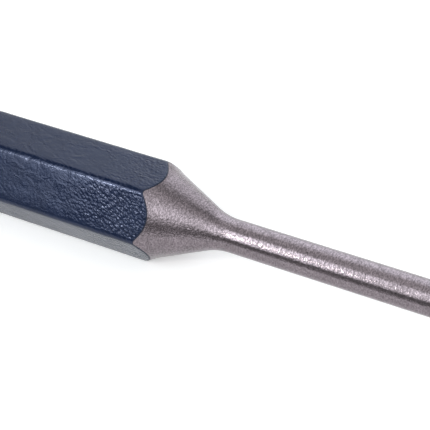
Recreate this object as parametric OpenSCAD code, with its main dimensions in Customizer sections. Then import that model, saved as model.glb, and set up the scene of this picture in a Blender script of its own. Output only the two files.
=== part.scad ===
// Pin punch, lying on one flat of its hexagon shank, pin towards +X.
// The origin is on the surface it lies on, under the middle of its length.
// One bar of tool steel is turned at both ends, and a film of enamel covers the flats between.
// Each end of the film is a row of scallops, where the turned cones run out through the six flats.

/* [Bar] */
// Length of the whole punch, from the struck face to the tip
overall_length = 150; // [120:5:200]
// Distance across two opposite flats of the bare bar
across_flats = 8; // [6:0.5:12]
// Radius along the bar's six long edges
edge_radius = 0.55; // [0.2:0.05:0.9]

/* [Pin] */
// Diameter of the parallel pin
pin_diameter = 3; // [2:0.1:4]
// Length of the pin, from the end of its fillet to the tip
pin_length = 45; // [20:1:60]
// Width of the chamfer round the tip
tip_chamfer = 0.25; // [0.1:0.05:0.5]

/* [Taper] */
// Half angle of the long cone between shank and pin
taper_half_angle = 24.5; // [18:0.5:28]
// Half angle of the short cone that cuts through the bar's edges and flats
shoulder_half_angle = 32; // [28:1:60]
// How far below the flats the short cone meets the long one
shoulder_depth = 0.08; // [0.02:0.02:0.4]
// Radius that blends the two cones
shoulder_blend = 2; // [0.5:0.25:3]
// Radius that blends the long cone into the pin
pin_fillet = 5; // [2:0.5:6]

/* [Striking head] */
// Diameter of the struck face, where its flat would meet the head's cone
face_diameter = 5.6; // [4:0.2:5.8]
// Half angle of the cone round the head
head_half_angle = 30; // [20:1:50]
// Radius round the rim of the struck face
face_edge_radius = 0.7; // [0.3:0.1:1.2]

/* [Enamel] */
// Thickness of the enamel film on the flats
film_thickness = 0.08; // [0.03:0.01:0.15]

/* [Hidden] */
$fn = 96;
sides = 6;
side_turn = 360 / sides;
half_turn = side_turn / 2;
// How far a cutting shape runs past what it cuts
overrun = 0.5;

// The enamelled bar, as it lies
coated_across_flats = across_flats + 2 * film_thickness;
coated_edge_radius = edge_radius + film_thickness;
axis_height = coated_across_flats / 2;
// Radius up to which the turned outline is drawn, clear of the enamelled edges
outline_radius = corner_radius(coated_across_flats, coated_edge_radius) + overrun;

// Pin and fillet, as [radius, distance from the struck face]
pin_radius = pin_diameter / 2;
pin_start = overall_length - pin_length;
fillet_centre = [pin_radius + pin_fillet, pin_start];
fillet_start = fillet_centre - pin_fillet * [cos(taper_half_angle), sin(taper_half_angle)];

// Where the long cone and the short one would meet, were they not blended
shoulder_radius = across_flats / 2 - shoulder_depth;
taper_run = (shoulder_radius - fillet_start[0]) / tan(taper_half_angle);
shoulder = [shoulder_radius, fillet_start[1] - taper_run];
shoulder_run = (outline_radius - shoulder_radius) / tan(shoulder_half_angle);
blend_reach = shoulder_blend * tan((shoulder_half_angle - taper_half_angle) / 2);
blend_end = shoulder + blend_reach * [-sin(taper_half_angle), cos(taper_half_angle)];
blend_start = shoulder - blend_reach * [-sin(shoulder_half_angle), cos(shoulder_half_angle)];
blend_centre = blend_start + shoulder_blend * [cos(shoulder_half_angle), sin(shoulder_half_angle)];

// Striking head
face_radius = face_diameter / 2;
head_run = (outline_radius - face_radius) / tan(head_half_angle);
rim_reach = face_edge_radius * tan((90 - head_half_angle) / 2);
rim_centre = [face_radius - rim_reach, face_edge_radius];
rim_end = [face_radius, 0] + rim_reach * [sin(head_half_angle), cos(head_half_angle)];

// Distance from the middle of a hexagon with rounded corners to a corner's crest
function corner_radius(flats, radius) = (flats / 2 - radius) / cos(half_turn) + radius;

// Hexagon with rounded corners, two of its sides square to the first axis
module hexagon_outline(flats, radius) {
    corner_distance = (flats / 2 - radius) / cos(half_turn);
    corner_turns = [for (side = [0 : sides - 1]) side * side_turn + half_turn];
    polygon([
        for (turn = corner_turns)
            for (way = [-1, 1])
                corner_distance * [cos(turn), sin(turn)]
                    + radius * [cos(turn + way * half_turn), sin(turn + way * half_turn)]
    ]);
    for (turn = corner_turns)
        translate(corner_distance * [cos(turn), sin(turn)]) circle(r = radius);
}

// Half section of everything the lathe and the grinder leave, struck face at zero
module turned_outline() {
    difference() {
        union() {
            polygon([
                [0, 0],
                [rim_centre[0], 0],
                rim_end,
                [outline_radius, head_run],
                [outline_radius, shoulder[1] - shoulder_run],
                blend_start,
                blend_end,
                fillet_start,
                [pin_radius, pin_start],
                [pin_radius, overall_length - tip_chamfer],
                [pin_radius - tip_chamfer, overall_length],
                [0, overall_length]
            ]);
            translate(rim_centre) circle(r = face_edge_radius);
        }
        translate(blend_centre) circle(r = shoulder_blend);
        translate(fillet_centre) circle(r = pin_fillet);
    }
}

// Hexagon bar cut to the turned outline, standing on its struck face
module turned_bar(flats, radius) {
    intersection() {
        linear_extrude(height = overall_length) hexagon_outline(flats, radius);
        rotate_extrude() turned_outline();
    }
}

// Lays what stands on the struck face down along X, with a flat on the surface below
module lie_on_flat() {
    translate([-overall_length / 2, 0, axis_height]) rotate([0, 90, 0]) children();
}

module punch_blank() {
    color([0.5, 0.47, 0.48]) lie_on_flat() turned_bar(across_flats, edge_radius);
}

module enamel_coat() {
    color([0.17, 0.22, 0.33]) lie_on_flat() difference() {
        turned_bar(coated_across_flats, coated_edge_radius);
        translate([0, 0, -overrun])
            linear_extrude(height = overall_length + 2 * overrun)
                hexagon_outline(across_flats, edge_radius);
    }
}

punch_blank();
enamel_coat();
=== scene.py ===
"""Looks for a pin punch: a turned bar of tool steel in a scalloped film of enamel, in a small studio.

Everything is in metres, in the CAD frame: the bar lies along X on one of its flats, its pin towards +X,
and the surface that it lies on is at zero height. Angles round the bar are measured from +Y towards +Z.
"""

import math

import bpy
import numpy as np
from bpy.props import FloatProperty, FloatVectorProperty, PointerProperty
from mathutils import Matrix, Vector


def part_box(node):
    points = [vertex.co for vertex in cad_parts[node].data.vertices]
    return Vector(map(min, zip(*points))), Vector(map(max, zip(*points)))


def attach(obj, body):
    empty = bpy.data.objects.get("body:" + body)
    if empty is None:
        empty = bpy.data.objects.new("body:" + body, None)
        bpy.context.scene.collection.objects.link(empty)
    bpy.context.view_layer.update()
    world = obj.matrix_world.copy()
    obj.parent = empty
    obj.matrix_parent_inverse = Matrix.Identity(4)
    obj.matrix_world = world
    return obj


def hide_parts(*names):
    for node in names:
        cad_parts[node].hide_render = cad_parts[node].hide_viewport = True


bl_info = {
    "name": "Pin Punch",
    "version": (1, 0, 0),
    "blender": (4, 5, 0),
    "location": "3D View > Sidebar > Pin Punch",
    "description": "Dresses an enamelled pin punch in steel and paint, and lights it",
    "category": "Object",
}

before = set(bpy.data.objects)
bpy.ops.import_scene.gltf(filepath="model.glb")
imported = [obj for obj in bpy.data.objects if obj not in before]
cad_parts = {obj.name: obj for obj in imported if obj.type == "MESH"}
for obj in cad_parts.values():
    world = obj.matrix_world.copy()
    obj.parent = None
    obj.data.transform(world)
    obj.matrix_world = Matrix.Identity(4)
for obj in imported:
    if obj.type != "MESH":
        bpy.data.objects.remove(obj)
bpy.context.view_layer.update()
BARE_LOW, BARE_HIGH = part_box("punch_blank")
COAT_LOW, COAT_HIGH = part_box("enamel_coat")

MM = 0.001
SIDES = 6
SIXTH = 2 * math.pi / SIDES
AXIS_HEIGHT = (COAT_LOW.z + COAT_HIGH.z) / 2

# Radius at which the turned lines start, and at which all angles take the same rows, in widths across flats
OUTSIDE_SHARE = 0.7
MEETING_SHARE = 0.45
# Rows of the skins along the bar, and for the coat's outside as parts of its length: from, to, rows
HEAD_ROWS, PIN_ROWS, BAR_ROWS, BORE_ROWS, RIM_ROWS = 14, 26, 48, 32, 5
COAT_ROWS = ((0, 0.03, 24), (0.03, 0.72, 90), (0.72, 0.97, 110), (0.97, 1, 40))
CREASE_ANGLE = math.radians(28)

# Seeds of the film's waves, and how far its cut edges swing about their mean drop
FILM_SEED, HEAD_RIM_SEED, PIN_RIM_SEED = 3, 5, 6
RIM_SWING = 0.4


def length(name, about, default, **more):
    """A length in metres, shown to a hundredth of a millimetre."""
    return FloatProperty(name=name, description=about, default=default, unit="LENGTH", precision=5, **more)


def angle(name, about, degrees):
    """An angle, given in degrees and kept in radians."""
    return FloatProperty(name=name, description=about, default=math.radians(degrees), subtype="ANGLE")


def amount(name, about, default, low=0.0, high=1.0):
    """A plain number within limits."""
    return FloatProperty(name=name, description=about, default=default, min=low, max=high, precision=3)


def colour(name, about, default):
    """A scene-linear colour."""
    return FloatVectorProperty(
        name=name, description=about, default=default, size=3, min=0.0, max=1.0, subtype="COLOR"
    )


def shares(name, about, default):
    """Three plain numbers, one for each axis."""
    return FloatVectorProperty(name=name, description=about, default=default, size=3, subtype="XYZ")


class PunchSize(bpy.types.PropertyGroup):
    """Sizes of the bar, its turned ends and its enamel."""

    overall_length: length("Overall Length", "From the struck face to the tip", BARE_HIGH.x - BARE_LOW.x)
    across_flats: length("Across Flats", "Across two flats of the bare bar", BARE_HIGH.z - BARE_LOW.z)
    edge_radius: length("Edge Radius", "Radius along the bar's six long edges", 0.55 * MM)
    film_thickness: length("Film Thickness", "Thickness of the enamel", COAT_HIGH.z - BARE_HIGH.z)
    pin_diameter: length("Pin Diameter", "Diameter of the parallel pin", 3 * MM)
    pin_length: length("Pin Length", "From the end of the pin's fillet to the tip", 45 * MM)
    pin_fillet: length("Pin Fillet", "Radius between the long cone and the pin", 5 * MM)
    tip_chamfer: length("Tip Chamfer", "Width of the chamfer round the tip", 0.25 * MM)
    taper_half_angle: angle("Taper Half Angle", "Half angle of the long cone", 24.5)
    shoulder_half_angle: angle("Shoulder Half Angle", "Half angle of the short cone by the enamel", 32)
    shoulder_depth: length("Shoulder Depth", "How far below the flats the two cones meet", 0.08 * MM)
    shoulder_blend: length("Shoulder Blend", "Radius that blends the two cones", 2 * MM)
    face_diameter: length("Face Diameter", "Diameter of the struck face", 5.6 * MM)
    face_edge_radius: length("Face Edge Radius", "Radius round the rim of the struck face", 0.7 * MM)
    head_half_angle: angle("Head Half Angle", "Half angle of the cone round the head", 30)
    worn_radius: length("Worn Radius", "Radius that use leaves on the tip's corners", 0.06 * MM)


class EnamelLook(bpy.types.PropertyGroup):
    """Colour and surface of the enamel."""

    paint: colour("Paint", "Colour of the enamel", (0.0035, 0.0085, 0.027))
    gloss_tint: colour("Gloss Tint", "Colour of what the enamel mirrors", (0.61, 0.69, 1.0))
    refraction: amount("Refraction", "Refractive index of the enamel", 1.5, 1.0, 3.0)
    # Darker than the paint: partly the colour of the film's own cut edge, partly painted shade along the step
    # where the film ends.
    cut_edge_and_shade: colour("Cut Edge", "Colour of the film where the cones cut through it", (0.004, 0.007, 0.014))
    roughness: amount("Roughness", "Roughness of the enamel near both ends", 0.07)
    calm_roughness: amount("Calm Roughness", "What is added to it half way between the ends", 0.18)
    cut_roughness: amount("Cut Roughness", "What is added to it on the cut edge", 0.3)
    shade_size: length("Shade Size", "Width of the soft blotches in the paint's colour", 2.4 * MM)
    sheen_size: length("Sheen Size", "Width of the soft blotches in the paint's roughness", 0.9 * MM)
    grain_size: length("Grain Size", "Width of one cell of the orange peel", 0.24 * MM)
    grain_height: length("Grain Height", "Height of the orange peel", 0.06 * MM)
    fleck_size: length("Fleck Size", "Width of the larger cells near the pin", 0.235 * MM)
    fleck_share: amount("Fleck Share", "Height of the larger cells, in orange peel heights", 1.6, high=4.0)
    fleck_slant: shares("Fleck Slant", "Slant of the larger cells towards Y and Z along X", (0.0, 0.18, 0.32))
    calm_share: amount("Calm Share", "Height of the orange peel half way between the ends", 0.22)
    pin_share: amount("Pin Share", "What is added to that height at the pin's end", 0.25)
    head_share: amount("Head Share", "What is added to that height at the head's end", 0.6)
    pin_side_from: length("Pin Side From", "Place along the bar where the pin's end begins to show", 9.5 * MM)
    pin_side_full: length("Pin Side Full", "Place along the bar where it shows in full", 22.5 * MM)
    head_side_from: length("Head Side From", "Place along the bar where the head's end begins to show", 0)
    head_side_full: length("Head Side Full", "Place along the bar where it shows in full", -17 * MM)
    wrinkle_size: length("Wrinkle Size", "Width of one long wrinkle of the film", 0.8 * MM)
    wrinkle_height: length("Wrinkle Height", "Height of the long wrinkles", 0.04 * MM)
    ripple_height: length("Ripple Height", "Depth of the slow waves in the film", 0.012 * MM)
    ripple_fade: length("Ripple Fade", "How far from the pin's end the slow waves fade out", 2 * MM)
    edge_thinning: length("Edge Thinning", "How much thinner the film is over the long edges", 0.026 * MM)
    edge_spread: angle("Edge Spread", "Angle round the bar over which the film thins", 6.5)
    levelled_from: length("Levelled From", "Height over the bench where the wet film ran level", 7.7 * MM)
    levelled_over: length("Levelled Over", "Height over which it goes level", 0.3 * MM)
    levelled_share: amount("Levelled Share", "What levelling leaves of the orange peel", 0.5)
    levelled_swell: amount("Levelled Swell", "How much higher the wrinkles are there", 2.0, high=4.0)
    edge_share: amount("Edge Share", "What is left of the orange peel on the long edges", 0.3)
    edge_blend: angle("Edge Blend", "Angle round the bar over which it comes back beside them", 1.5)
    rim_reach: length("Rim Reach", "How far in from the cut edge the film rounds over", 0.28 * MM)
    rim_drop: length("Rim Drop", "How far the film sinks at its cut edge", 0.03 * MM)


class SteelLook(bpy.types.PropertyGroup):
    """Colour and surface of the bare steel."""

    metal: colour("Metal", "Colour of the steel", (0.222, 0.190, 0.209))
    roughness: amount("Roughness", "Roughness of the steel", 0.12)
    mark_pitch: length("Mark Pitch", "Distance between turning marks", 0.1 * MM)
    mark_height: length("Mark Height", "Height of the turning marks", 0.008 * MM)
    grain_size: length("Grain Size", "Width of one grain of the surface", 0.13 * MM)
    grain_height: length("Grain Height", "Height of the surface's grain", 0.019 * MM)
    mark_run: amount("Mark Run", "Length of a turning mark round the bar, in pitches", 4.0, high=20.0)
    taper_grain: amount("Taper Grain", "How much higher the grain is on the taper", 1.3, high=4.0)
    taper_grain_from: length("Taper Grain From", "Place along the bar where that begins", 0)
    taper_grain_full: length("Taper Grain Full", "Place along the bar where it is full", 15 * MM)
    pin_grain_from: length("Pin Grain From", "Place along the bar where the grain gets finer", 27 * MM)
    pin_grain_full: length("Pin Grain Full", "Place along the bar where it is the pin's", 31 * MM)
    blotch_size: length("Blotch Size", "Width of the soft blotches in the steel's colour", 1.1 * MM)
    speckle_size: length("Speckle Size", "Width of the fine speckles in the steel's colour", 0.15 * MM)
    speckle_dark: amount("Speckle Dark", "Tone of the darkest speckles", 0.6)
    speckle_bright: amount("Speckle Bright", "Tone of the brightest speckles", 1.38, high=2.0)
    pit_tone: amount("Pit Tone", "Tone inside a pit", 0.35)
    pit_spacing: length("Pit Spacing", "Size of the cells that pits fall in", 0.55 * MM)
    pit_radius: length("Pit Radius", "Radius of the largest pits", 0.08 * MM)


class StudioLook(bpy.types.PropertyGroup):
    """Camera, lamps, cards and floor."""

    azimuth: angle("Azimuth", "How far the camera stands round from the front", 27.164)
    elevation: angle("Elevation", "How far the camera stands above the horizon", 40.484)
    roll: angle("Roll", "Turn of the camera about its line of sight", -1.047)
    distance: length("Distance", "From the camera to what it looks at", 110.785 * MM)
    lens: FloatProperty(name="Lens", description="Focal length, in millimetres", default=108.84)
    fill: amount("Fill", "Strength of the even light from all round", 0.62, high=4.0)
    key: amount("Key", "Radiance that the main softbox adds", 0.7, high=20.0)
    key_core: amount("Key Core", "Radiance that the middle of the main softbox adds", 2.8, high=20.0)
    key_spot: amount("Key Spot", "Radiance that the hot spot of the main softbox adds", 37.0, high=40.0)
    side: amount("Side", "Radiance that the side softbox adds", 0.83, high=20.0)
    rear: amount("Rear", "Radiance that each rear softbox adds", 0.46, high=20.0)
    lamp_tint: colour("Lamp Tint", "Colour of the front softboxes", (0.93, 0.98, 1.0))
    spot_tint: colour("Spot Tint", "Colour of the hot spot", (1.0, 0.96, 0.88))
    rear_tint: colour("Rear Tint", "Colour of the rear softboxes", (0.86, 0.935, 1.0))
    floor_tone: amount("Floor Tone", "Reflectance of the floor", 0.85)
    floor_lift: amount("Floor Lift", "What is added to the floor's brightness as the camera sees it", 0.36)
    floor_glow: amount("Floor Glow", "What is added to the floor's brightness in reflections", 0.28)
    floor_reach: length("Floor Reach", "From the middle of the floor to its sides", 3)


# Surfaces


def hexagon_reach(turn, flats, edge):
    """Distance from the axis to the surface of a hexagon bar with rounded edges, at each angle round it.

    Over a flat it is half the distance across flats, divided by the cosine of the angle from that flat's
    middle. Over an edge it is the farther crossing of the ray with the edge's circle.
    """
    half = flats / 2
    off_middle = np.abs(np.mod(turn, SIXTH) - SIXTH / 2)
    off_corner = SIXTH / 2 - off_middle
    corner = (half - edge) / math.cos(SIXTH / 2)
    rounded = corner * np.cos(off_corner) + np.sqrt(
        np.maximum(edge**2 - (corner * np.sin(off_corner)) ** 2, 0)
    )
    return np.where(off_middle > edge_start(flats, edge), rounded, half / np.cos(off_middle))


def edge_start(flats, edge):
    """Angle from a flat's middle at which the rounded edge begins."""
    return math.atan2((flats / 2 - edge) * math.tan(SIXTH / 2), flats / 2)


def turns_round(flats, edge, over_flat=30, over_edge=8):
    """Angles once round the bar, evenly over each flat and closer together over each edge."""
    start = edge_start(flats, edge)
    side = np.concatenate(
        [
            np.linspace(-start, start, over_flat, endpoint=False),
            np.linspace(start, SIXTH - start, over_edge, endpoint=False),
        ]
    )
    return (SIXTH * (np.arange(SIDES)[:, None] + 0.5) + side).ravel()


def round_corners(corners, radii, steps=14):
    """A bent line with an arc at each inner corner.

    The arc touches both legs at radius / tan(half the angle between them), and its points are the two
    touching directions blended in proportion to the sines of the angles left and gone.
    """
    corners = np.array(corners, float)
    line = [corners[:1]]
    for before, corner, after, radius in zip(corners, corners[1:], corners[2:], radii):
        legs = np.stack([before - corner, after - corner])
        legs /= np.linalg.norm(legs, axis=1)[:, None]
        half = math.acos(np.clip(legs[0] @ legs[1], -1, 1)) / 2
        middle = corner + legs.sum(0) / np.linalg.norm(legs.sum(0)) * radius / math.sin(half)
        spokes = corner + legs * radius / math.tan(half) - middle
        swing = math.pi - 2 * half
        gone = np.linspace(0, 1, steps)[:, None]
        blend = np.sin((1 - gone) * swing) * spokes[0] + np.sin(gone * swing) * spokes[1]
        line.append(middle + blend / math.sin(swing))
    return np.concatenate(line + [corners[-1:]])


def even_out(line, step):
    """The same line with points added, so that none is further than step from the next."""
    runs = np.linalg.norm(np.diff(line, axis=0), axis=1)
    gone = np.concatenate([[0], np.cumsum(runs)])
    parts = np.maximum(np.ceil(runs / step).astype(int), 1)
    ways = zip(gone, gone[1:], parts)
    inner = np.concatenate([np.linspace(a, b, n, endpoint=False) for a, b, n in ways])
    stations = np.append(inner, gone[-1])
    return np.stack([np.interp(stations, gone, line[:, k]) for k in (0, 1)], 1)


class TurnedLine:
    """One end of the lathe's outline, from clear of the bar down to the axis, as [x, radius] points."""

    def __init__(self, corners, radii, step):
        self.points = even_out(round_corners(corners, radii), step)
        runs = np.linalg.norm(np.diff(self.points, axis=0), axis=1)
        self.gone = np.concatenate([[0], np.cumsum(runs)])

    def at(self, gone):
        """Place along X and radius at each distance gone along the line."""
        return np.interp(gone, self.gone, self.points[:, 0]), np.interp(gone, self.gone, self.points[:, 1])

    def where(self, reach):
        """Distance gone along the line at which its radius has fallen to each reach."""
        return np.interp(-np.asarray(reach), -self.points[:, 1], self.gone)


def taper_line(size, step=0.35 * MM):
    """The pin end: short cone, blend, long cone, fillet, pin, chamfer and tip face."""
    tip = BARE_LOW.x + size.overall_length
    pin = size.pin_diameter / 2
    bend = size.pin_fillet * math.tan(size.taper_half_angle / 2)
    neck = tip - size.pin_length - bend
    shoulder_reach = size.across_flats / 2 - size.shoulder_depth
    shoulder = neck - (shoulder_reach - pin) / math.tan(size.taper_half_angle)
    outside = size.across_flats * OUTSIDE_SHARE
    start = shoulder - (outside - shoulder_reach) / math.tan(size.shoulder_half_angle)
    return TurnedLine(
        [
            (start, outside),
            (shoulder, shoulder_reach),
            (neck, pin),
            (tip - size.tip_chamfer, pin),
            (tip, pin - size.tip_chamfer),
            (tip, 0),
        ],
        [size.shoulder_blend, size.pin_fillet, size.worn_radius, size.worn_radius],
        step,
    )


def head_line(size, step=0.2 * MM):
    """The struck end: cone, rounded rim and flat face."""
    face = size.face_diameter / 2
    outside = size.across_flats * OUTSIDE_SHARE
    start = BARE_LOW.x + (outside - face) / math.tan(size.head_half_angle)
    corners = [(start, outside), (BARE_LOW.x, face), (BARE_LOW.x, 0)]
    return TurnedLine(corners, [size.face_edge_radius], step)


def end_rows(line, reach, meeting, rows):
    """Rows of x and radius from the crease at each angle to the end of a turned line.

    The crease is where the line's radius has fallen to the bar's reach. Between it and the meeting radius
    the rows share each angle's own way evenly, and from there on all angles take the line's own points.
    """
    crease = line.where(reach)
    level = line.where(meeting)
    share = np.linspace(0, 1, rows, endpoint=False)[:, None]
    x, radius = line.at(crease + (level - crease) * share)
    rest_x, rest_radius = line.at(np.append(level, line.gone[line.gone > level + 1e-9]))
    ones = np.ones(len(reach))
    return np.vstack([x, rest_x[:, None] * ones]), np.vstack([radius, rest_radius[:, None] * ones])


def skin(name, x, reach, turns, closed_ends):
    """A mesh over a grid of x and reach, with one row for each place along and one column for each angle.

    Each point is x along, reach times the angle's cosine across and reach times its sine up from the axis.
    With closed ends the first and last row are one point each; otherwise the last row joins the first.
    """
    rows, columns = x.shape
    points = np.stack([x, reach * np.cos(turns), AXIS_HEIGHT + reach * np.sin(turns)], -1).reshape(-1, 3)
    number = np.arange(rows * columns).reshape(rows, columns)
    across = np.roll(number, -1, axis=1)
    if closed_ends:
        number[0], across[0] = 0, 0
        number[-1], across[-1] = number[-1, 0], number[-1, 0]
        ahead, ahead_across = number[1:], across[1:]
        number, across = number[:-1], across[:-1]
    else:
        ahead, ahead_across = np.roll(number, -1, axis=0), np.roll(across, -1, axis=0)
    quads = np.stack([number, across, ahead_across, ahead], -1).reshape(-1, 4)
    ends = (quads[:, 0] == quads[:, 1]) | (quads[:, 2] == quads[:, 3])
    fans = quads[ends]
    fans = np.where((fans[:, 0] == fans[:, 1])[:, None], fans[:, [0, 2, 3]], fans[:, [0, 1, 2]])
    used, renumbered = np.unique(np.concatenate([quads[~ends].ravel(), fans.ravel()]), return_inverse=True)
    split = quads[~ends].size
    faces = renumbered[:split].reshape(-1, 4).tolist() + renumbered[split:].reshape(-1, 3).tolist()
    mesh = bpy.data.meshes.new(name)
    mesh.from_pydata(points[used].tolist(), [], faces)
    mesh.polygons.foreach_set("use_smooth", np.ones(len(faces), bool))
    mesh.set_sharp_from_angle(angle=CREASE_ANGLE)
    mesh.update()
    made = bpy.data.objects.new(name, mesh)
    bpy.context.scene.collection.objects.link(made)
    return made, used


def slow_waves(x, turns, seed, count=14, shortest=1.6 * MM, longest=7 * MM):
    """A smooth uneven height between 0 and 1: a sum of plane waves across x and the way round the bar.

    Each wave's length, direction and start are drawn once from a seeded generator.
    """
    draw = np.random.default_rng(seed)
    wave = 2 * math.pi / draw.uniform(shortest, longest, count)
    slant = draw.uniform(0, math.pi, count)
    start = draw.uniform(0, 2 * math.pi, count)
    around = np.round(wave * np.sin(slant) * COAT_HIGH.z / 2)
    total = sum(
        np.cos(x * k * math.cos(s) + turns * m + p) for k, s, m, p in zip(wave, slant, around, start)
    )
    usual_peak = 1.6 * math.sqrt(count)
    return 0.5 + 0.5 * np.clip(total / usual_peak, -1, 1)


# Materials


def add_node(tree, kind, inputs=None, **settings):
    """Adds a node, sets its properties, and fills its sockets with values or with links."""
    made = tree.nodes.new(kind)
    made.location = (200 * (len(tree.nodes) % 8), -260 * (len(tree.nodes) // 8))
    for name, value in settings.items():
        setattr(made, name, value)
    for key, value in (inputs or {}).items():
        if isinstance(value, bpy.types.NodeSocket):
            tree.links.new(value, made.inputs[key])
        else:
            made.inputs[key].default_value = value
    return made


def maths(tree, operation, *values, clamp=False):
    """The result of a Math node."""
    return add_node(
        tree, "ShaderNodeMath", dict(enumerate(values)), operation=operation, use_clamp=clamp
    ).outputs[0]


def remap(tree, value, low, high, to_low=0.0, to_high=1.0):
    """A value carried smoothly from one span to another, and held at its ends."""
    return add_node(
        tree,
        "ShaderNodeMapRange",
        {"Value": value, "From Min": low, "From Max": high, "To Min": to_low, "To Max": to_high},
        interpolation_type="SMOOTHSTEP",
    ).outputs[0]


def group(name, inputs, outputs):
    """An empty shader node group with named inputs and float outputs, and its two end nodes."""
    tree = bpy.data.node_groups.new(name, "ShaderNodeTree")
    for socket, (kind, default) in inputs.items():
        made = tree.interface.new_socket(socket, in_out="INPUT", socket_type=kind)
        if default is not None:
            made.default_value = default
    for socket in outputs:
        tree.interface.new_socket(socket, in_out="OUTPUT", socket_type="NodeSocketFloat")
    return tree, add_node(tree, "NodeGroupInput"), add_node(tree, "NodeGroupOutput")


def stretched(tree, vector, size, stretch):
    """A place divided by a grain's size, and again by how much longer it is along each axis."""
    smaller = add_node(
        tree,
        "ShaderNodeVectorMath",
        {0: vector, 1: stretch},
        operation="DIVIDE",
    ).outputs[0]
    return add_node(
        tree,
        "ShaderNodeVectorMath",
        {0: smaller, "Scale": maths(tree, "DIVIDE", 1.0, size)},
        operation="SCALE",
    ).outputs[0]


FLOAT, VECTOR = "NodeSocketFloat", "NodeSocketVector"


def grain_group():
    """Rounded cells with narrow valleys, mixed with warped noise. Height runs from about 0 to 1."""
    tree, given, result = group(
        "Grain",
        {
            "Place": (VECTOR, None),
            "Size": (FLOAT, 0.001),
            "Stretch": (VECTOR, (1, 1, 1)),
            "Cells": (FLOAT, 0.5),
            "Warp": (FLOAT, 0.0),
        },
        ["Height"],
    )
    values = given.outputs
    place = stretched(tree, values["Place"], values["Size"], values["Stretch"])
    noise = add_node(
        tree,
        "ShaderNodeTexNoise",
        {"Vector": place, "Scale": 1.0, "Detail": 3.5, "Roughness": 0.6, "Distortion": values["Warp"]},
    ).outputs[0]
    cells = add_node(
        tree,
        "ShaderNodeTexVoronoi",
        {"Vector": place, "Scale": 1.0, "Smoothness": 0.35},
        feature="SMOOTH_F1",
    ).outputs["Distance"]
    domes = maths(tree, "SUBTRACT", 1.0, cells)
    mixed = add_node(tree, "ShaderNodeMix", {0: values["Cells"], 2: noise, 3: domes})
    tree.links.new(mixed.outputs[0], result.inputs["Height"])
    return tree


def mottle_group():
    """Soft blotches with finer ones in them, as a factor between two limits."""
    tree, given, result = group(
        "Mottling",
        {
            "Place": (VECTOR, None),
            "Size": (FLOAT, 0.001),
            "Stretch": (VECTOR, (1, 1, 1)),
            "Low": (FLOAT, 0.0),
            "High": (FLOAT, 1.0),
        },
        ["Factor"],
    )
    values = given.outputs
    place = stretched(tree, values["Place"], values["Size"], values["Stretch"])
    noise = add_node(
        tree, "ShaderNodeTexNoise", {"Vector": place, "Scale": 1.0, "Detail": 5.0, "Roughness": 0.62}
    ).outputs[0]
    factor = remap(tree, noise, 0.3, 0.7, values["Low"], values["High"])
    tree.links.new(factor, result.inputs["Factor"])
    return tree


def marks_group():
    """Turning marks: fine rings round the X axis that break off and start again."""
    tree, given, result = group(
        "Turning Marks",
        {"Place": (VECTOR, None), "Pitch": (FLOAT, 0.0001), "Run": (FLOAT, 8.0)},
        ["Height"],
    )
    run = given.outputs["Run"]
    longer = add_node(tree, "ShaderNodeCombineXYZ", {0: 1.0, 1: run, 2: run}).outputs[0]
    place = stretched(tree, given.outputs["Place"], given.outputs["Pitch"], longer)
    noise = add_node(
        tree, "ShaderNodeTexNoise", {"Vector": place, "Scale": 1.0, "Detail": 3.0, "Roughness": 0.6}
    ).outputs[0]
    tree.links.new(noise, result.inputs["Height"])
    return tree


def pits_group():
    """Small round pits, 1 inside and 0 outside, where the middle of a cell lies near the surface."""
    tree, given, result = group(
        "Pits", {"Place": (VECTOR, None), "Size": (FLOAT, 0.001), "Radius": (FLOAT, 0.0001)}, ["Inside"]
    )
    size = given.outputs["Size"]
    place = stretched(tree, given.outputs["Place"], size, (1, 1, 1))
    away = add_node(
        tree, "ShaderNodeTexVoronoi", {"Vector": place, "Scale": 1.0}, feature="F1"
    ).outputs["Distance"]
    reach = maths(tree, "DIVIDE", given.outputs["Radius"], size)
    inside = remap(tree, maths(tree, "DIVIDE", away, reach), 1.0, 0.5)
    tree.links.new(inside, result.inputs["Inside"])
    return tree


def place_group(tree, name, inputs):
    """A shared group placed in a material, its inputs filled."""
    return add_node(tree, "ShaderNodeGroup", inputs, node_tree=bpy.data.node_groups[name]).outputs[0]


def shared_groups():
    """Builds each shared group once."""
    builders = {
        "Grain": grain_group,
        "Mottling": mottle_group,
        "Turning Marks": marks_group,
        "Pits": pits_group,
    }
    for name, build in builders.items():
        if name not in bpy.data.node_groups:
            build()


# Mean height of the Grain group with cells and without, taken off so that scaling a height moves nothing
CELLS_MIDDLE, NOISE_MIDDLE = 0.55, 0.5


def new_material(name):
    """A material with its node tree and its Principled shader."""
    made = bpy.data.materials.new(name)
    made.use_nodes = True
    tree = made.node_tree
    return made, tree, tree.nodes["Principled BSDF"]


def object_place(tree):
    """The place on the object, and how far it is along, across and above."""
    place = add_node(tree, "ShaderNodeTexCoord").outputs["Object"]
    return place, add_node(tree, "ShaderNodeSeparateXYZ", {0: place}).outputs


def scaled_colour(tree, tint, factor):
    """A plain colour times a factor that changes over the surface."""
    return add_node(
        tree, "ShaderNodeVectorMath", {0: tuple(tint), "Scale": factor}, operation="SCALE"
    ).outputs[0]


def bumped(tree, height, distance, normal=None):
    """The normal of a surface raised by a height, on top of another normal if one is given."""
    inputs = {"Strength": 1.0, "Distance": distance, "Height": height}
    if normal is not None:
        inputs["Normal"] = normal
    return add_node(tree, "ShaderNodeBump", inputs).outputs[0]


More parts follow.
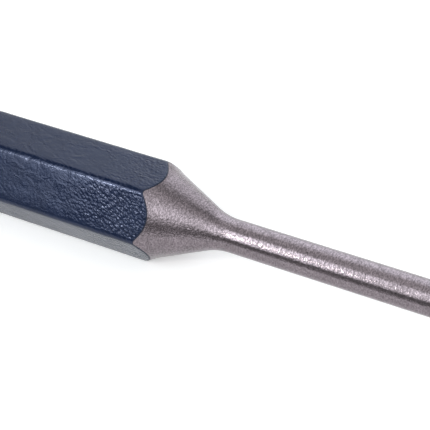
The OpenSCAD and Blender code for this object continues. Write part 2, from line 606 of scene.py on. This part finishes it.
def steel_material(look):
    """Turned and blasted tool steel: short bright strokes round the bar, fine grain, blotches and pits."""
    made, tree, shader = new_material("tool_steel")
    place, (along, _, _) = object_place(tree)
    marks = place_group(
        tree, "Turning Marks", {"Place": place, "Pitch": look.mark_pitch, "Run": look.mark_run}
    )
    grain = place_group(
        tree,
        "Grain",
        {"Place": place, "Size": look.grain_size, "Stretch": (1.1, 1.3, 1.3), "Cells": 0.2, "Warp": 0.3},
    )
    pits = place_group(tree, "Pits", {"Place": place, "Size": look.pit_spacing, "Radius": look.pit_radius})
    blotch = place_group(
        tree, "Mottling", {"Place": place, "Size": look.blotch_size, "Low": 0.92, "High": 1.07}
    )
    darkest, brightest = look.speckle_dark, look.speckle_bright
    speckle = place_group(
        tree,
        "Mottling",
        {
            "Place": place,
            "Size": look.speckle_size,
            "Stretch": (0.75, 1.4, 1.4),
            "Low": darkest,
            "High": brightest,
        },
    )
    tone = maths(tree, "MULTIPLY", blotch, speckle)
    tone = maths(tree, "MULTIPLY", tone, remap(tree, pits, 0.0, 1.0, 1.0, look.pit_tone))
    duller, brighter = 0.06, -0.04
    wear = remap(tree, speckle, darkest, brightest, duller, brighter)
    past_fillet = remap(tree, along, look.pin_grain_full, look.pin_grain_from, 0.0, look.taper_grain)
    off_head = remap(tree, along, look.taper_grain_from, look.taper_grain_full)
    coarser = maths(tree, "ADD", 1.0, maths(tree, "MULTIPLY", past_fillet, off_head))
    rise = maths(tree, "MULTIPLY", maths(tree, "SUBTRACT", grain, NOISE_MIDDLE), coarser)
    grained = bumped(tree, rise, look.grain_height)
    shader.inputs["Metallic"].default_value = 1.0
    tree.links.new(scaled_colour(tree, look.metal, tone), shader.inputs["Base Color"])
    tree.links.new(maths(tree, "ADD", look.roughness, wear), shader.inputs["Roughness"])
    tree.links.new(bumped(tree, marks, look.mark_height, grained), shader.inputs["Normal"])
    return made


def enamel_relief(tree, look, place, reached, near_pin, near_head):
    """Normal of the film: wrinkles, an orange peel that is low half way along, and flecks by the pin."""
    along, _, above = reached
    grain = place_group(
        tree,
        "Grain",
        {"Place": place, "Size": look.grain_size, "Stretch": (1.0, 1.0, 1.0), "Cells": 0.4, "Warp": 0.4},
    )
    slanting = add_node(
        tree,
        "ShaderNodeVectorMath",
        {0: along, 1: tuple(look.fleck_slant), 2: place},
        operation="MULTIPLY_ADD",
    ).outputs[0]
    fleck = place_group(
        tree,
        "Grain",
        {
            "Place": slanting,
            "Size": look.fleck_size,
            "Stretch": (1.3, 1.0, 1.0),
            "Cells": 0.65,
            "Warp": 0.6,
        },
    )
    wrinkle = place_group(
        tree,
        "Grain",
        {"Place": place, "Size": look.wrinkle_size, "Stretch": (1.4, 1.0, 1.0), "Cells": 0.0, "Warp": 0.8},
    )
    pin_side = maths(tree, "MULTIPLY", maths(tree, "POWER", near_pin, 2.0), look.pin_share)
    head_side = maths(tree, "MULTIPLY", maths(tree, "POWER", near_head, 2.0), look.head_share)
    coarse = maths(tree, "ADD", maths(tree, "MAXIMUM", pin_side, head_side), look.calm_share)
    peel = maths(tree, "MULTIPLY", maths(tree, "SUBTRACT", grain, CELLS_MIDDLE), coarse)
    fleck_reach = maths(tree, "MULTIPLY", maths(tree, "POWER", near_pin, 2.5), look.fleck_share)
    flecks = maths(tree, "MULTIPLY", maths(tree, "SUBTRACT", fleck, CELLS_MIDDLE), fleck_reach)
    off_edges = add_node(tree, "ShaderNodeAttribute", attribute_name="flat").outputs["Fac"]
    kept = remap(tree, off_edges, 0.0, 1.0, look.edge_share, 1.0)
    level, levelled = look.levelled_from, look.levelled_from + look.levelled_over
    kept = maths(tree, "MULTIPLY", kept, remap(tree, above, level, levelled, 1.0, look.levelled_share))
    deeper = remap(tree, above, level, levelled, 1.0, look.levelled_swell)
    swell = maths(tree, "MULTIPLY", maths(tree, "SUBTRACT", wrinkle, NOISE_MIDDLE), deeper)
    rise = maths(tree, "MULTIPLY", maths(tree, "ADD", peel, flecks), kept)
    return bumped(tree, rise, look.grain_height, bumped(tree, swell, look.wrinkle_height))


def enamel_material(look):
    """Navy enamel with an orange peel, dark where the cones cut through the film: partly the film's own cut
    edge, partly painted shade along the step it makes.
    """
    made, tree, shader = new_material("blue_enamel")
    place, reached = object_place(tree)
    cut = add_node(tree, "ShaderNodeAttribute", attribute_name="cut").outputs["Fac"]
    shade = place_group(tree, "Mottling", {"Place": place, "Size": look.shade_size, "Low": 0.9, "High": 1.12})
    paint = scaled_colour(tree, look.paint, shade)
    # The cut rows take the darker cut-edge colour: partly the film's own edge, partly painted shade along its
    # step.
    base = add_node(
        tree, "ShaderNodeMix", {0: cut, 6: paint, 7: (*look.cut_edge_and_shade, 1.0)}, data_type="RGBA"
    ).outputs[2]
    near_pin = remap(tree, reached[0], look.pin_side_from, look.pin_side_full)
    near_head = remap(tree, reached[0], look.head_side_from, look.head_side_full)
    calm = maths(tree, "SUBTRACT", 1.0, maths(tree, "MAXIMUM", near_pin, near_head))
    sheen = place_group(
        tree, "Mottling", {"Place": place, "Size": look.sheen_size, "Low": -0.02, "High": 0.03}
    )
    rough = maths(tree, "ADD", look.roughness, sheen)
    rough = maths(tree, "ADD", rough, maths(tree, "MULTIPLY", calm, look.calm_roughness))
    rough = maths(tree, "ADD", rough, maths(tree, "MULTIPLY", cut, look.cut_roughness))
    shader.inputs["IOR"].default_value = look.refraction
    shader.inputs["Specular Tint"].default_value = (*look.gloss_tint, 1.0)
    tree.links.new(base, shader.inputs["Base Color"])
    tree.links.new(rough, shader.inputs["Roughness"])
    relief = enamel_relief(tree, look, place, reached, near_pin, near_head)
    tree.links.new(relief, shader.inputs["Normal"])
    return made


def background_rays(tree):
    """1 for rays that show the background, straight or in metal or glass, and 0 for all others."""
    rays = add_node(tree, "ShaderNodeLightPath").outputs
    seen = maths(tree, "ADD", rays["Is Camera Ray"], rays["Is Glossy Ray"])
    return maths(tree, "ADD", seen, rays["Is Transmission Ray"], clamp=True)


def floor_material(look):
    """Pale matt floor, lifted to the white of the background as it is seen, with its shadows kept."""
    made, tree, shader = new_material("studio_floor")
    shader.inputs["Base Color"].default_value = (*[look.floor_tone] * 3, 1.0)
    shader.inputs["Roughness"].default_value = 1.0
    shader.inputs["Specular IOR Level"].default_value = 0.0
    shader.inputs["Emission Color"].default_value = (1.0, 1.0, 1.0, 1.0)
    rays = add_node(tree, "ShaderNodeLightPath").outputs
    seen = maths(tree, "MULTIPLY", rays["Is Camera Ray"], look.floor_lift)
    mirrored = maths(tree, "MULTIPLY", rays["Is Glossy Ray"], look.floor_glow)
    lift = maths(tree, "ADD", seen, mirrored)
    tree.links.new(lift, shader.inputs["Emission Strength"])
    return made


def card_material(name, radiance):
    """A card that shows in reflections as an even grey."""
    made = bpy.data.materials.new(name)
    made.use_nodes = True
    tree = made.node_tree
    tree.nodes.clear()
    glow = add_node(
        tree, "ShaderNodeEmission", {"Color": (1.0, 1.0, 1.0, 1.0), "Strength": radiance}
    ).outputs[0]
    add_node(tree, "ShaderNodeOutputMaterial", {"Surface": glow})
    return made


# Pieces


class PUNCH_OT_steel_blank(bpy.types.Operator):
    """Builds the turned steel bar with its struck head, its tapers and its pin"""

    bl_idname = "punch.steel_blank"
    bl_label = "Steel Blank"

    def execute(self, context):
        size = context.scene.punch_size
        turns = turns_round(size.across_flats, size.edge_radius)
        bar = hexagon_reach(turns, size.across_flats, size.edge_radius)
        meeting = size.across_flats * MEETING_SHARE
        head_x, head_reach = end_rows(head_line(size), bar, meeting, HEAD_ROWS)
        pin_x, pin_reach = end_rows(taper_line(size), bar, meeting, PIN_ROWS)
        share = np.linspace(0, 1, BAR_ROWS)[1:-1, None]
        bar_x = head_x[0] + (pin_x[0] - head_x[0]) * share
        x = np.vstack([head_x[::-1], bar_x, pin_x])
        reach = np.vstack([head_reach[::-1], bar * np.ones_like(bar_x), pin_reach])
        made, used = skin("steel_blank", x, reach, turns, closed_ends=True)
        made.data.materials.append(steel_material(context.scene.punch_steel))
        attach(made, "root")
        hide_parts("punch_blank")
        return {"FINISHED"}


class PUNCH_OT_enamel_coat(bpy.types.Operator):
    """Builds the film of enamel over the flats, with the scallops at both its ends

    The film is the hexagon's reach plus its thickness. It is thinner over each long edge by a bell curve of
    the angle from that edge, rounds over by the square of the nearness to its cut edges, and has slow waves.
    """

    bl_idname = "punch.enamel_coat"
    bl_label = "Enamel Coat"

    def execute(self, context):
        size, look = context.scene.punch_size, context.scene.punch_enamel
        flats = size.across_flats + 2 * size.film_thickness
        edge = size.edge_radius + size.film_thickness
        turns = turns_round(flats, edge)
        bare = hexagon_reach(turns, size.across_flats, size.edge_radius)
        off_edge = SIXTH / 2 - np.abs(np.mod(turns, SIXTH) - SIXTH / 2)
        drawn_back = look.edge_thinning * np.exp(-((off_edge / look.edge_spread) ** 2))
        coated = hexagon_reach(turns, flats, edge) - drawn_back
        head, taper = head_line(size), taper_line(size)
        nominal_x = [line.at(line.where(coated))[0] for line in (head, taper)]
        edge_reach = []
        for x, seed in zip(nominal_x, (HEAD_RIM_SEED, PIN_RIM_SEED)):
            swing = 2 * slow_waves(x, turns, seed, count=30, shortest=0.25 * MM, longest=1.5 * MM) - 1
            edge_reach.append(coated - look.rim_drop * (1 + RIM_SWING * swing))
        strip = np.linspace(0, 1, RIM_ROWS)[:, None]
        head_x, head_reach = head.at(head.where(bare + (edge_reach[0] - bare) * strip))
        pin_x, pin_reach = taper.at(taper.where(edge_reach[1] + (bare - edge_reach[1]) * strip))
        from_head, from_pin = head_x[-1], pin_x[0]
        share = np.unique(np.concatenate([np.linspace(*part) for part in COAT_ROWS]))[1:-1, None]
        outer_x = from_head + (from_pin - from_head) * share
        round_over = sum(
            look.rim_drop * np.clip(1 - np.abs(outer_x - end) / look.rim_reach, 0, 1) ** 2
            for end in (from_head, from_pin)
        )
        waves = look.ripple_height * slow_waves(outer_x, turns, FILM_SEED)
        outer_reach = coated - round_over - waves * np.clip((from_pin - outer_x) / look.ripple_fade, 0, 1)
        inner_share = np.linspace(1, 0, BORE_ROWS)[1:-1, None]
        inner_x = head_x[0] + (pin_x[-1] - head_x[0]) * inner_share
        inner_reach = bare * np.ones_like(inner_x)
        x = np.vstack([head_x, outer_x, pin_x, inner_x])
        reach = np.vstack([head_reach, outer_reach, pin_reach, inner_reach])
        cut = np.zeros(x.shape)
        cut[: len(head_x)] = 1
        cut[len(head_x) + len(outer_x) :] = 1
        made, used = skin("enamel_coat_skin", x, reach, turns, closed_ends=False)
        over_round = SIXTH / 2 - edge_start(flats, edge)
        flat = np.clip((off_edge - over_round) / look.edge_blend, 0, 1) * np.ones(x.shape)
        for name, mask in (("cut", cut), ("flat", flat)):
            made.data.attributes.new(name, "FLOAT", "POINT").data.foreach_set("value", mask.ravel()[used])
        made.data.materials.append(enamel_material(look))
        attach(made, "root")
        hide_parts("enamel_coat")
        return {"FINISHED"}


def toward(azimuth, elevation):
    """Unit direction from the object, azimuth 0 towards the front and 90 towards the tip."""
    return Vector(
        (
            math.sin(azimuth) * math.cos(elevation),
            -math.cos(azimuth) * math.cos(elevation),
            math.sin(elevation),
        )
    )


# What the camera looks at, just above the fillet, and what the lamps face, the axis where the pin starts
LOOK_AT = Vector((28.205 * MM, 0, 5.787 * MM))
SUBJECT = Vector((30 * MM, 0, AXIS_HEIGHT))


def camera_matrix(look):
    """Camera at its azimuth, elevation and distance from its target, turned about its line of sight."""
    back = toward(look.azimuth, look.elevation)
    right = Vector((0, 0, 1)).cross(back).normalized()
    up = back.cross(right)
    turned = Matrix((right, up, back)).transposed() @ Matrix.Rotation(look.roll, 3, "Z")
    place = turned.to_4x4()
    place.translation = LOOK_AT + back * look.distance
    return place


def softbox(name, radiance, tint, azimuth, elevation, distance, width, height, turn=0):
    """A rectangular lamp that faces the subject, turned about its own facing, with angles in degrees.

    Its watts are four times its area times its radiance.
    """
    lamp = bpy.data.lights.new(name, "AREA")
    lamp.shape = "RECTANGLE"
    lamp.size, lamp.size_y = width, height
    lamp.energy = 4 * width * height * radiance
    lamp.color = tint
    made = bpy.data.objects.new(name, lamp)
    back = toward(math.radians(azimuth), math.radians(elevation))
    facing = back.to_track_quat("Z", "Y").to_matrix() @ Matrix.Rotation(math.radians(turn), 3, "Z")
    made.matrix_world = Matrix.Translation(SUBJECT + back * distance) @ facing.to_4x4()
    made.visible_camera = False
    bpy.context.scene.collection.objects.link(made)


def show_in_reflections(name, mesh, radiance):
    """An object of an even grey that is seen in reflections alone."""
    mesh.materials.append(card_material(name, radiance))
    made = bpy.data.objects.new(name, mesh)
    bpy.context.scene.collection.objects.link(made)
    made.visible_camera = False
    made.visible_diffuse = False
    made.visible_shadow = False


def card(name, azimuths, elevations, radiance, distance=0.5, steps=25):
    """A curved card: part of a sphere round the subject, between two azimuths and two elevations.

    Each point is the unit direction of its two angles, in degrees, times the distance.
    """
    sides, heights = (np.radians(np.linspace(*span, steps)) for span in (azimuths, elevations))
    around, above = np.meshgrid(sides, heights, indexing="ij")
    directions = [np.sin(around) * np.cos(above), -np.cos(around) * np.cos(above), np.sin(above)]
    points = np.stack(directions, -1) * distance + np.array(SUBJECT)
    number = np.arange(steps * steps).reshape(steps, steps)
    quads = np.stack([number[:-1, :-1], number[1:, :-1], number[1:, 1:], number[:-1, 1:]], -1)
    mesh = bpy.data.meshes.new(name)
    mesh.from_pydata(points.reshape(-1, 3).tolist(), [], quads.reshape(-1, 4).tolist())
    show_in_reflections(name, mesh, radiance)


def table_card(name, across, height, radiance, reach=0.2):
    """A long low card that stands on the floor in front of the bar."""
    points = [(-reach, across, 0), (reach, across, 0), (reach, across, height), (-reach, across, height)]
    mesh = bpy.data.meshes.new(name)
    mesh.from_pydata(points, [], [(0, 1, 2, 3)])
    show_in_reflections(name, mesh, radiance)


def place_softboxes(look):
    """Main softbox in front, its bright middle and hot spot, one softbox by the tip and two behind."""
    softbox(
        "key_softbox", look.key, look.lamp_tint,
        azimuth=-15.0, elevation=44.2, distance=0.40, width=0.385, height=0.330, turn=16,
    )
    softbox(
        "key_core", look.key_core, look.lamp_tint,
        azimuth=-32.2, elevation=35.1, distance=0.39, width=0.090, height=0.313, turn=16,
    )
    softbox(
        "key_spot", look.key_spot, look.spot_tint,
        azimuth=-31.4, elevation=32.2, distance=0.38, width=0.036, height=0.036,
    )
    softbox(
        "side_softbox", look.side, look.lamp_tint,
        azimuth=29.7, elevation=42.4, distance=0.42, width=0.419, height=0.272, turn=-2.9,
    )
    softbox(
        "rear_softbox", look.rear, look.rear_tint,
        azimuth=-168, elevation=18.9, distance=0.45, width=0.197, height=0.580,
    )
    softbox(
        "rear_high_softbox", look.rear, look.rear_tint,
        azimuth=-174, elevation=38.7, distance=0.45, width=0.484, height=0.450,
    )


def place_cards():
    """Grey cards that the paint and the steel mirror between the softboxes."""
    card("front_card", azimuths=(-85, 85), elevations=(0.3, 15.6), radiance=0.24)
    card("far_card", azimuths=(104, 163), elevations=(45.9, 79.4), radiance=0.41)
    card("left_card", azimuths=(-121.9, -60), elevations=(35, 65.3), radiance=0.07)
    table_card("table_card", across=-32 * MM, height=9 * MM, radiance=0.34)
    table_card("table_edge_card", across=-16 * MM, height=2.2 * MM, radiance=0.6)


class PUNCH_OT_studio(bpy.types.Operator):
    """Lays the floor, and sets up the background, the lamps, the cards and the camera"""

    bl_idname = "punch.studio"
    bl_label = "Studio"

    def execute(self, context):
        scene, look = context.scene, context.scene.punch_studio
        reach = look.floor_reach
        mesh = bpy.data.meshes.new("studio_floor")
        corners = [(x * reach, y * reach, 0) for x, y in ((-1, -1), (1, -1), (1, 1), (-1, 1))]
        mesh.from_pydata(corners, [], [(0, 1, 2, 3)])
        floor = bpy.data.objects.new("studio_floor", mesh)
        scene.collection.objects.link(floor)
        mesh.materials.append(floor_material(look))

        world = bpy.data.worlds.new("studio")
        world.use_nodes = True
        tree = world.node_tree
        tree.nodes.clear()
        fill, shown = (
            add_node(tree, "ShaderNodeBackground", {"Color": (1, 1, 1, 1), "Strength": strength}).outputs[0]
            for strength in (look.fill, 1.0)
        )
        mixed = add_node(tree, "ShaderNodeMixShader", {0: background_rays(tree), 1: fill, 2: shown})
        add_node(tree, "ShaderNodeOutputWorld", {"Surface": mixed.outputs[0]})
        scene.world = world

        place_softboxes(look)
        place_cards()

        camera = bpy.data.cameras.new("camera")
        camera.lens = look.lens
        camera.clip_start, camera.clip_end = 0.01, 20.0
        made = bpy.data.objects.new("camera", camera)
        made.matrix_world = camera_matrix(look)
        scene.collection.objects.link(made)
        scene.camera = made
        scene.view_settings.view_transform = "Standard"
        return {"FINISHED"}


class PUNCH_PT_sidebar(bpy.types.Panel):
    """Lists the punch's pieces, their values and the studio"""

    bl_idname = "PUNCH_PT_sidebar"
    bl_label = "Pin Punch"
    bl_space_type = "VIEW_3D"
    bl_region_type = "UI"
    bl_category = "Pin Punch"

    def draw(self, context):
        for operator, group_names in STEPS:
            box = self.layout.box()
            box.operator(operator)
            for group_name in group_names:
                values = getattr(context.scene, group_name)
                for name in values.bl_rna.properties.keys():
                    if name not in ("rna_type", "name"):
                        box.prop(values, name)


GROUPS = {
    "punch_size": PunchSize,
    "punch_steel": SteelLook,
    "punch_enamel": EnamelLook,
    "punch_studio": StudioLook,
}
CLASSES = (*GROUPS.values(), PUNCH_OT_steel_blank, PUNCH_OT_enamel_coat, PUNCH_OT_studio, PUNCH_PT_sidebar)
STEPS = (
    ("punch.steel_blank", ("punch_size", "punch_steel")),
    ("punch.enamel_coat", ("punch_enamel",)),
    ("punch.studio", ("punch_studio",)),
)


def register():
    """Adds the classes and hangs each group of values on the scene."""
    for kind in CLASSES:
        bpy.utils.register_class(kind)
    for name, kind in GROUPS.items():
        setattr(bpy.types.Scene, name, PointerProperty(type=kind))


def unregister():
    """Takes away what register added."""
    for name in GROUPS:
        delattr(bpy.types.Scene, name)
    for kind in reversed(CLASSES):
        bpy.utils.unregister_class(kind)


def main():
    """Builds every piece and the studio."""
    register()
    shared_groups()
    bpy.ops.punch.steel_blank()
    bpy.ops.punch.enamel_coat()
    bpy.ops.punch.studio()


if __name__ == "__main__":
    main()
